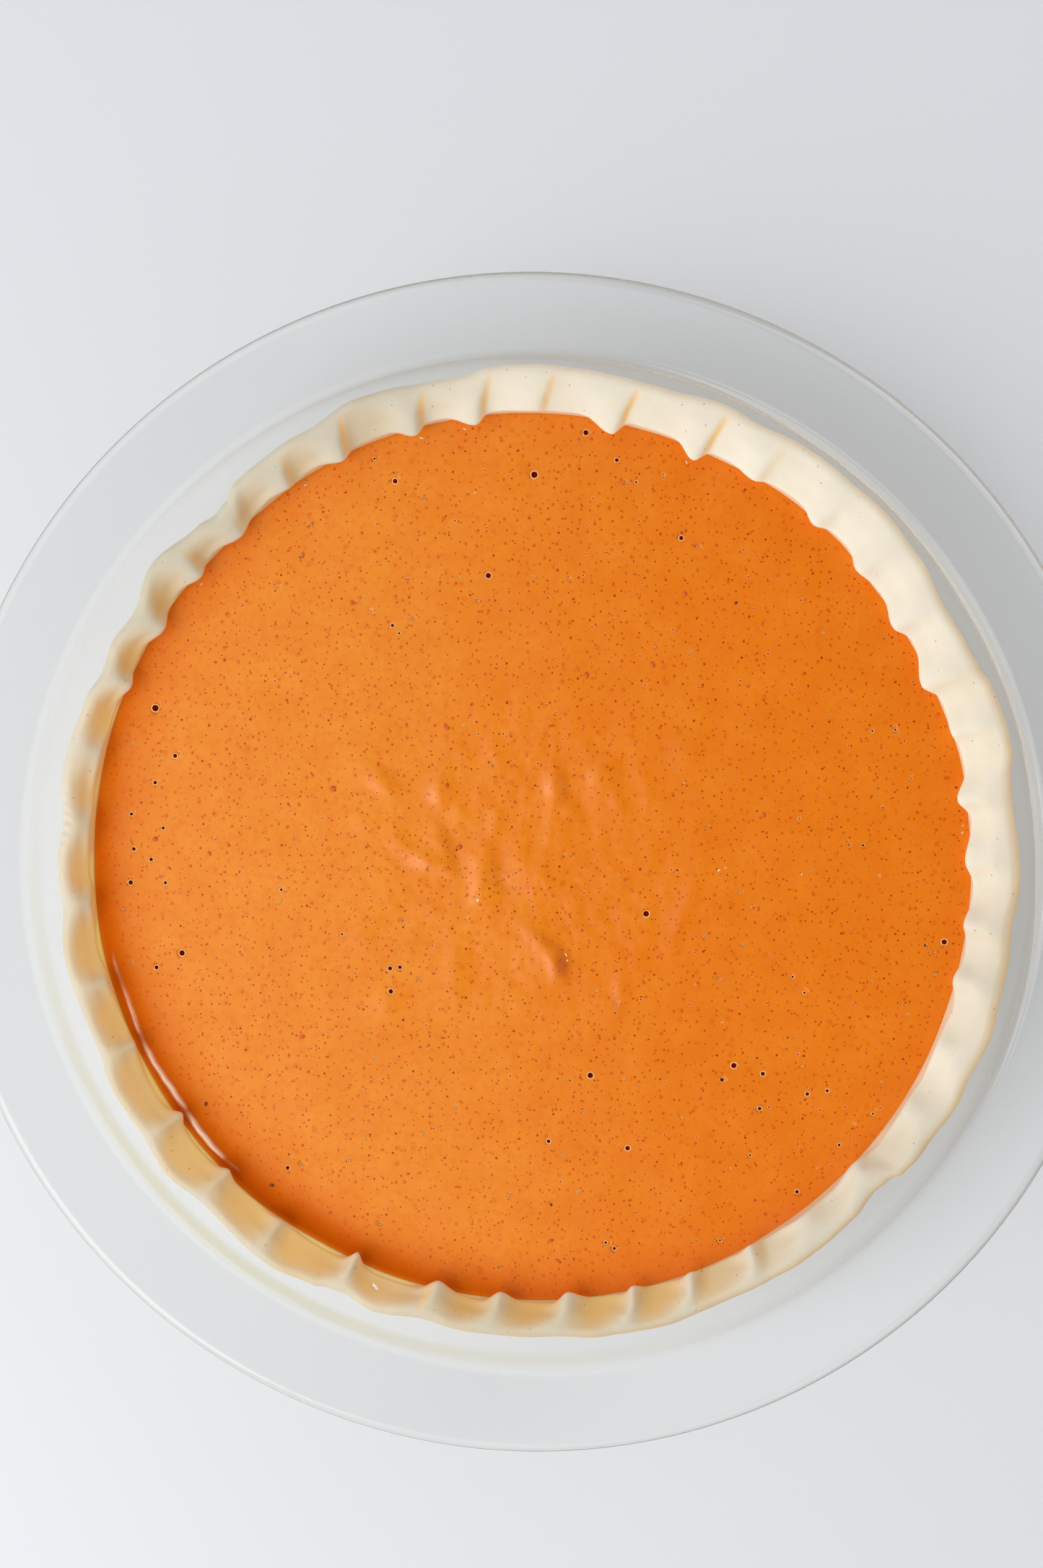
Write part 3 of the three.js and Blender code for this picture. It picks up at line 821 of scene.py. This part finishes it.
def crust_knots(angles):
    """Knots of the crust's edge at each angle: radius, height, then painted warm shade, butter with
    painted shade, painted shade in creases with a glow on the ledge, and darker painted shade.
    """
    lip = outline(angles, LIP_OUTLINE)
    edge = edge_radius(angles)
    arch = np.prod(1 - crest_weights(angles, 1.8), axis=0)
    pinch = edge + 0.15 + outline(angles, LEDGE_OUTLINE) * arch
    inner = np.min(pinch + (TIPS[:, None] - pinch) * crest_weights(angles, 1.0), axis=0)
    slope = (lip - 3.4 - inner) / 3
    dark_shade = outline(angles, DARK_SHADE_ROUND)
    shaded_lip = swell(angles, *SHADED_LIP)
    rows = [edge_row(angles, dark_shade, shaded_lip, row) for row in EDGE_ROWS]
    (d0, _, warm0, dark0), (d1, c1, warm1, dark1), (d2, c2, warm2, dark2) = rows[:3]
    (d3, c3, warm3, dark3), (d4, c4, warm4, dark4) = rows[3:]
    # Painted shade on the lip, a painted warm glow on the ledge that lessens its darker shade, and
    # butter with painted shade on the outer side.
    lip_dark_shade = np.clip(dark_shade + shaded_lip, 0, 1)
    ledge_glow = 0.2 + 0.8 * swell(angles, *LEDGE_GLOW)
    ledge_dark_shade = np.clip(dark_shade + 0.35, 0, 1) * (1 - ledge_glow)
    outer_butter_shade = swell(angles, *BUTTER_AND_SHADE)
    rounded = swell(angles, *ROUNDED)
    notch = swell(angles, *NOTCHED) * creases(angles - 0.6, 0.0)
    wrinkle = wrinkles(angles)
    bottom = wall_point(-BITE, CONTACT_HEIGHT)
    flat = np.zeros_like(angles)
    top = LIP_TOP
    knots = [
        # Up from the glass, over the outer side of the lip.
        (flat + bottom.x, flat + bottom.y, flat, flat, flat, lip_dark_shade),
        (lip - 1.3, flat + top - 4.2, flat, 0.6 * outer_butter_shade, flat, lip_dark_shade),
        (lip - 0.1, top - 2.4 - 0.4 * rounded, flat, 0.9 * outer_butter_shade, flat, lip_dark_shade),
        (lip - 0.15 - wrinkle, top - 1.2 - 0.8 * rounded, flat, 0.8 * outer_butter_shade, flat, lip_dark_shade),
        # The top of the lip.
        (
            lip - 0.9 - 0.3 * notch, top - 0.25 - 0.1 * d0 - wrinkle - 0.9 * rounded,
            0.3 * d0, 0.4 * outer_butter_shade, 0.5 * notch, lip_dark_shade,
        ),
        (
            lip - 1.9, top + 0.1 - 0.4 * d0 - wrinkle - 0.6 * rounded,
            warm0, 0.25 * rounded, 0.1 * c1 + 0.5 * notch, dark0,
        ),
        (
            lip - 3.0, top + 0.15 - 1.15 * d1 - 0.2 * c1 - 0.3 * rounded,
            warm1, flat, 0.5 * c1, dark1,
        ),
        # Across the crests and the thumbprints.
        (lip - 3.0 - slope, top - 0.1 - 2.1 * d2 - 0.25 * c2, warm2, flat, 0.9 * c2, dark2),
        (lip - 3.0 - 2 * slope, top - 0.8 - 2.7 * d3 - 0.25 * c3, warm3, flat, c3, dark3),
        (inner + 0.4 + 0.1 * c4, top - 1.7 - 2.95 * d4 - 0.2 * c4, warm4, flat, 0.7 * c4, dark4),
        # Down the tips, and over the ledge under the thumbprints.
        (inner + 0.15 - 0.1 * d4, top - 2.6 - 2.3 * d4 - 0.2 * c4, warm4, flat, 0.4 * c4, dark4),
        (inner + 0.3 - 0.5 * d4, top - 2.9 - 2.25 * d4, warm4, flat, 0.8 * ledge_glow, dark4),
        (
            0.5 * (inner + edge) + 0.15, LEVEL + 1.6 + 1.0 * (1 - d4),
            0.3 + 0.4 * d4, flat, ledge_glow, ledge_dark_shade,
        ),
        (edge + 0.25, flat + LEVEL + 1.15, flat + 0.5, flat, ledge_glow, ledge_dark_shade),
        # Down the inner face, under the filling.
        (edge, flat + LEVEL - 1.8, flat + 0.8, flat, flat, flat),
        (edge - 0.8, flat + FOLD_BOTTOM, flat + 0.8, flat, flat, flat),
    ]
    return np.array(knots).transpose(2, 0, 1)


def smooth_through(knots, steps):
    """A Catmull-Rom curve through the knots of every column, with equal steps between them."""
    ends = np.concatenate([knots[:, :1], knots, knots[:, -1:]], axis=1)
    rows = []
    for index in range(knots.shape[1] - 1):
        a, b, c, d = (ends[:, index + k] for k in range(4))
        for step in range(steps):
            t = step / steps
            rows.append(
                0.5 * (2 * b + (c - a) * t + (2 * a - 5 * b + 4 * c - d) * t**2
                       + (3 * b - a - 3 * c + d) * t**3)
            )
    rows.append(knots[:, -1])
    return np.stack(rows, axis=1)


def make_crust(material):
    angles = np.arange(CRUST_COLUMNS) * 360 / CRUST_COLUMNS
    edge = smooth_through(crust_knots(angles), CRUST_STEPS)
    under = [Vector((0, GLASS - BITE)), *floor_fillet(-BITE, 5)]
    over = [*reversed(floor_fillet(DOUGH, 5)), Vector((0, GLASS + DOUGH))]
    section = under + [Vector(point) for point in edge[0, :, :2]] + over
    mesh = mesh_from(turned(section, CRUST_COLUMNS), "crimped_crust")
    points = points_of(mesh)
    index = rows_of(mesh) - len(under)
    fine = (index >= 0) & (index < edge.shape[1])
    turn = np.arctan2(points[:, 1], points[:, 0])
    column = np.rint(turn / (2 * np.pi) * CRUST_COLUMNS).astype(int) % CRUST_COLUMNS
    radius, height, *masks = edge[column, np.clip(index, 0, edge.shape[1] - 1)].T
    radius = np.where(fine, radius, np.hypot(points[:, 0], points[:, 1]))
    height = np.where(fine, height, points[:, 2])
    points = np.stack([radius * np.cos(turn), radius * np.sin(turn), height], axis=1)
    last_rough = edge.shape[1] - 2 * CRUST_STEPS
    for vert in np.flatnonzero((index > CRUST_STEPS) & (index < last_rough)):
        place = Vector(points[vert])
        lump = sum(noise.noise(place * fineness) * rise for rise, fineness in CRUST_LUMPS)
        out = place.xy.normalized()
        outwards = LUMPS_OUTWARDS * lump
        points[vert] += (outwards * out.x, outwards * out.y, lump)
    mesh.vertices.foreach_set("co", points.ravel())
    mesh.update()
    normals = np.empty(len(points) * 3)
    mesh.vertices.foreach_get("normal", normals)
    # Warm painted shade grows on faces turned away from the window.
    facing = np.clip(normals.reshape(-1, 3)[:, :2] @ np.array(AWAY_FROM_WINDOW), 0, 1)
    hollow, butter_and_shade, crease_shade_ledge_glow, dark_shade = masks
    warm_shade_here = outline(np.degrees(turn), WARM_SHADE_ROUND)
    shade_away = facing * outline(np.degrees(turn), WARM_SHADE_AWAY)
    hollow = hollow * (warm_shade_here + (1 - warm_shade_here) * shade_away) + butter_and_shade
    for name, values in (("hollow", hollow), ("crease_shade_ledge_glow", crease_shade_ledge_glow), ("dark_shade", dark_shade)):
        shade_mask(mesh, name, np.where(fine, values, 0))
    piece_from(mesh, material, "crust")


# ---- Filling ----


def mounds(x, y, rows):
    """Height of long soft mounds at points of the surface."""
    height = 0
    for middle_x, middle_y, rise, half_length, half_width, direction in rows:
        way = heading(direction)
        along = (x - middle_x) * way.x + (y - middle_y) * way.y
        across = (x - middle_x) * way.y - (y - middle_y) * way.x
        height = height + rise * np.exp(-((along / half_length) ** 2) - (across / half_width) ** 2)
    return height


def skin_ridge(angles, inset):
    """How strong the ridge of skin along the edge is, and how far each place is inside of it."""
    wave = sum(swing * np.sin(np.radians(angles * times)) for swing, times in SKIN_RIDGE_WAVES)
    return outline(angles, SKIN_RIDGE), inset - SKIN_RIDGE_INSET - wave


def surface_height(x, y):
    """Height of the filling's surface, which climbs a little where it wets the crust."""
    angles = np.degrees(np.arctan2(y, x))
    inset = np.maximum(edge_radius(angles) - np.hypot(x, y), 0)
    climb = CLIMB_HEIGHT + CLIMB_MORE * swell(angles, *CLIMB_MIDDLE)
    height = SURFACE_LEVEL + mounds(x, y, FOLDS) + climb * np.exp(-inset / CLIMB_REACH)
    strong, from_ridge = skin_ridge(angles, inset)
    return height + SKIN_RIDGE_HEIGHT * strong * np.exp(-((from_ridge / SKIN_RIDGE_WIDTH) ** 2))


def all_bubbles():
    """The bubbles in the list, and small ones strewn between them."""
    random.seed(5)
    bubbles = [(x, y, BUBBLE_SWELL * width) for x, y, width in BUBBLES]
    for _ in range(SMALL_BUBBLES):
        radius = (EDGE_RADIUS - 4) * math.sqrt(random.random())
        place = heading(random.uniform(0, 360)) * radius
        bubbles.append((place.x, place.y, random.uniform(*SMALL_BUBBLE_WIDTHS)))
    return bubbles


def bubble_cutter(bubbles):
    """Spheres that leave each bubble's hollow, all in one object."""
    bm = bmesh.new()
    for x, y, width in bubbles:
        radius = math.hypot(width / 2, BUBBLE_DEPTH * width)
        height = float(surface_height(x, y)) - BUBBLE_DEPTH * width
        place = Matrix.Translation((x, y, height)) @ Matrix.Rotation(random.random(), 4, "Z")
        bmesh.ops.create_icosphere(bm, subdivisions=2, radius=radius, matrix=place)
    mesh = mesh_from(bm, "bubble_cutter")
    mesh.transform(Matrix.Scale(MM, 4))
    return add_object("bubble_cutter", mesh)


def cut_out(piece, cutter):
    modifier = piece.modifiers.new("bubbles", "BOOLEAN")
    modifier.operation = "DIFFERENCE"
    modifier.solver = "MANIFOLD"
    modifier.object = cutter
    graph = bpy.context.evaluated_depsgraph_get()
    mesh = bpy.data.meshes.new_from_object(piece.evaluated_get(graph))
    piece.modifiers.clear()
    piece.data = mesh
    bpy.data.objects.remove(cutter)


def filling_section():
    """The filling's section. Its rings are finer along the edge than in the middle."""
    under = DOUGH + CRUST_GAP
    fine = [EDGE_RING_GAP * (ring + 0.5) - OVERLAP for ring in range(EDGE_RINGS)]
    start = EDGE_RINGS * EDGE_RING_GAP - OVERLAP
    coarse_gap = (EDGE_RADIUS - start) / (FILLING_RINGS - EDGE_RINGS)
    coarse = [start + coarse_gap * (ring + 0.5) for ring in range(FILLING_RINGS - EDGE_RINGS)]
    shares = [1 - inset / EDGE_RADIUS for inset in fine + coarse]
    return [
        Vector((0, GLASS + under)),
        *floor_fillet(under, 5),
        Vector((EDGE_RADIUS - 0.7, FOLD_BOTTOM)),
        Vector((EDGE_RADIUS + 0.2, LEVEL - 2.0)),
        Vector((EDGE_RADIUS + OVERLAP + 0.1, LEVEL - 0.2)),
        *[Vector((EDGE_RADIUS * share, LEVEL)) for share in shares],
        Vector((0, LEVEL)),
    ]


def shade_filling(mesh, bubbles):
    """Marks the painted shade in the bubbles' hollows, the darker painted shadow by the edge and
    between the folds, the redder painted shade, the painted glow along the rim and the painted
    highlight on the skin's ridge.
    """
    points = points_of(mesh) / MM
    x, y, height = points.T
    angles = angles_of(points)
    from_edge = np.maximum(edge_radius(angles) - np.hypot(x, y), 0)
    pit = np.zeros(len(points))
    shallow, deepest = PIT_DEPTHS
    for bubble_x, bubble_y, width in bubbles:
        away = np.hypot(x - bubble_x, y - bubble_y) / (width / 2)
        below = float(surface_height(bubble_x, bubble_y)) - height
        pit[(away < PIT_REACH) & (below > shallow * width) & (below < deepest * width)] = 1
    # Painted shadow of the crust near the edge, and a redder painted shade there.
    deep = 0.9 * np.exp(-((from_edge / EDGE_SHADOW_WIDTH) ** 1.8)) * swell(angles, *EDGE_SHADOW_MIDDLE)
    red_shade = np.exp(-((from_edge / RED_SHADE_WIDTH) ** 1.5)) * swell(angles, *RED_SHADE_MIDDLE)
    strong, from_ridge = skin_ridge(angles, from_edge)
    gloss_width = SKIN_GLOSS_WIDTH + SKIN_GLOSS_MORE * strong
    # Painted shade in the bubbles' hollows and between the folds, a painted glow along the rim, and
    # a painted highlight on the skin's ridge.
    shade_mask(mesh, "pit", pit)
    shade_mask(mesh, "deep", deep + mounds(x, y, HOLLOWS))
    shade_mask(mesh, "red_shade", red_shade)
    shade_mask(mesh, "rim", 0.7 * np.exp(-((from_edge / 0.5) ** 2)))
    shade_mask(mesh, "skin", strong * np.exp(-((from_ridge / gloss_width) ** 2)))


def make_filling(material, bubbles):
    section = filling_section()
    first_top = len(section) - FILLING_RINGS - 2
    mesh = mesh_from(turned(section, FILLING_COLUMNS), "pumpkin_filling")
    points = points_of(mesh)
    rows = rows_of(mesh)
    widened = rows >= first_top - 2
    points[widened, :2] *= (edge_radius(angles_of(points)) / EDGE_RADIUS)[widened, None]
    top = rows >= first_top
    points[top, 2] = surface_height(points[top, 0], points[top, 1])
    for vert in np.flatnonzero(top):
        place = Vector((*points[vert, :2], 0))
        lump = 0.1 * noise.noise(place * 0.09)
        near = math.exp(-((place.length / LUMPS_SPREAD) ** 4))
        if near > 0.01:
            for high, wide in LUMPS:
                lump += near * high * noise.noise(place / wide + Vector((0, 0, 7)))
        points[vert, 2] += lump
    mesh.vertices.foreach_set("co", points.ravel())
    piece = piece_from(mesh, material, "filling")
    cut_out(piece, bubble_cutter(bubbles))
    piece.data.name = "pumpkin_filling"
    shade_filling(piece.data, bubbles)


def make_bubble_rims(material, bubbles):
    """The thin raised ring round the mouth of each bubble."""
    joined = bmesh.new()
    for x, y, width in bubbles:
        thick = BUBBLE_RIM_THICK + BUBBLE_RIM_MORE * width
        upright = Matrix.Translation((width / 2, 0, 0)) @ Matrix.Rotation(math.pi / 2, 4, "X")
        bm = bmesh.new()
        bmesh.ops.create_circle(bm, segments=6, radius=thick, matrix=upright)
        bmesh.ops.spin(
            bm, geom=bm.verts[:] + bm.edges[:], axis=(0, 0, 1), cent=(0, 0, 0),
            angle=2 * math.pi, steps=18 if width > 0.7 else 10, use_merge=True, use_duplicate=False,
        )
        bmesh.ops.remove_doubles(bm, verts=bm.verts, dist=1e-4)
        bmesh.ops.recalc_face_normals(bm, faces=bm.faces)
        height = float(surface_height(x, y)) - BUBBLE_RIM_SINK * thick
        bmesh.ops.translate(bm, verts=bm.verts, vec=(x, y, height))
        ring = mesh_from(bm, "ring")
        joined.from_mesh(ring)
        bpy.data.meshes.remove(ring)
    piece_from(mesh_from(joined, "bubble_rims"), material)


def wobble(place):
    """Noise in three directions, the same on every run."""
    return Vector([noise.noise(place + Vector((0, 0, 17 * axis))) for axis in range(3)])


def make_bits(name, material, bits, subdivisions=1):
    """Flattened grains: each a place, a length, a width and the direction of its length."""
    bm = bmesh.new()
    for place, length, width, direction in bits:
        flat = Matrix.Diagonal((length / 2, width / 2, min(length, width) / 5, 1))
        turn = Matrix.Rotation(math.radians(direction), 4, "Z")
        matrix = Matrix.Translation(place) @ turn @ flat
        made = bmesh.ops.create_icosphere(bm, subdivisions=subdivisions, radius=1, matrix=matrix)
        for vert in made["verts"]:
            vert.co += wobble(vert.co * 2.3) * 0.12 * width
    piece_from(mesh_from(bm, name), material)


def lying_bits(rows):
    """Bits with the height of the filling's surface put in."""
    return [
        (Vector((x, y, float(surface_height(x, y)))), length, width, direction)
        for x, y, length, width, direction in rows
    ]


# ---- Setting ----


def make_floor():
    bm = bmesh.new()
    bmesh.ops.create_grid(bm, x_segments=2, y_segments=2, size=FLOOR_SIZE)
    mesh = mesh_from(bm, "floor")
    mesh.materials.append(plain_material("pale_floor"))
    add_object("floor", mesh)


def make_lights():
    """A window low at the lower left and a pale wall across from it, in a room dark overhead."""
    for name, (place, aim, size, power) in LIGHTS.items():
        data = bpy.data.lights.new(name, "AREA")
        data.shape = "RECTANGLE"
        data.size, data.size_y = size
        data.energy = power
        light = add_object(name, data)
        light.location = place
        light.rotation_euler = (Vector(aim) - Vector(place)).to_track_quat("-Z", "Y").to_euler()
    world = bpy.data.worlds.new("studio")
    bpy.context.scene.world = world
    world.use_nodes = True
    shader = Shader(world.node_tree)
    toward = shader.node("TexCoord").outputs["Generated"]
    away = toward
    for operation, by in (("SUBTRACT", DARK_PATCH), ("MULTIPLY", DARK_STRETCH)):
        away = shader.node("VectorMath", {0: away, 1: by}, operation=operation).outputs["Vector"]
    away = shader.node("VectorMath", {0: away}, operation="LENGTH").outputs["Value"]
    strength = shader.ramp(away, *DARK_FADE, *ROOM_LIGHT)
    high = shader.node("SeparateXYZ", {"Vector": toward}).outputs["Z"]
    strength = shader.times(strength, shader.ramp(high, 0.1, 0.85, 0.86, 1.0))
    background = world.node_tree.nodes["Background"]
    background.inputs["Color"].default_value = ROOM_TINT
    shader.set(background.inputs["Strength"], strength)


def make_camera():
    tilt, side = math.radians(CAMERA_TILT), math.radians(CAMERA_SIDE)
    level = math.sin(tilt)
    away = Vector((level * math.cos(side), level * math.sin(side), math.cos(tilt)))
    place = Vector((0, 0, RIM_PLANE)) + away * CAMERA_DISTANCE
    ahead = (Vector((*CAMERA_TARGET, RIM_PLANE)) - place).normalized()
    right = ahead.cross(Vector((0, 1, 0))).normalized()
    up = right.cross(ahead)
    data = bpy.data.cameras.new("camera")
    data.sensor_width = SENSOR
    data.lens = LENS
    camera = add_object("camera", data)
    turn = Matrix((right, up, -ahead)).transposed().to_4x4()
    camera.matrix_world = Matrix.Translation(place * MM) @ turn
    bpy.context.scene.camera = camera


make_camera()
make_dish(clear_glass())
dough = raw_dough()
make_crust(dough)
bubbles = all_bubbles()
make_filling(pumpkin_custard(), bubbles)
make_bubble_rims(plain_material("bubble_skin"), bubbles)
# Some of the froth bits stand in for small glints, a painted highlight.
for name, material, rows in (
    ("red_spice_flecks", "red_spice", RED_FLECKS),
    ("dark_spice_flecks", "dark_spice", DARK_FLECKS),
    ("froth_and_glint_bits", "pale_froth_and_glints", FROTH_AND_GLINTS),
):
    make_bits(name, plain_material(material), lying_bits(rows))
scraps = [(Vector(scrap[:3]), *scrap[3:]) for scrap in DOUGH_SCRAPS]
make_bits("dough_scraps", dough, scraps, subdivisions=2)
make_floor()
make_lights()
bpy.context.scene.view_settings.view_transform = "Standard"
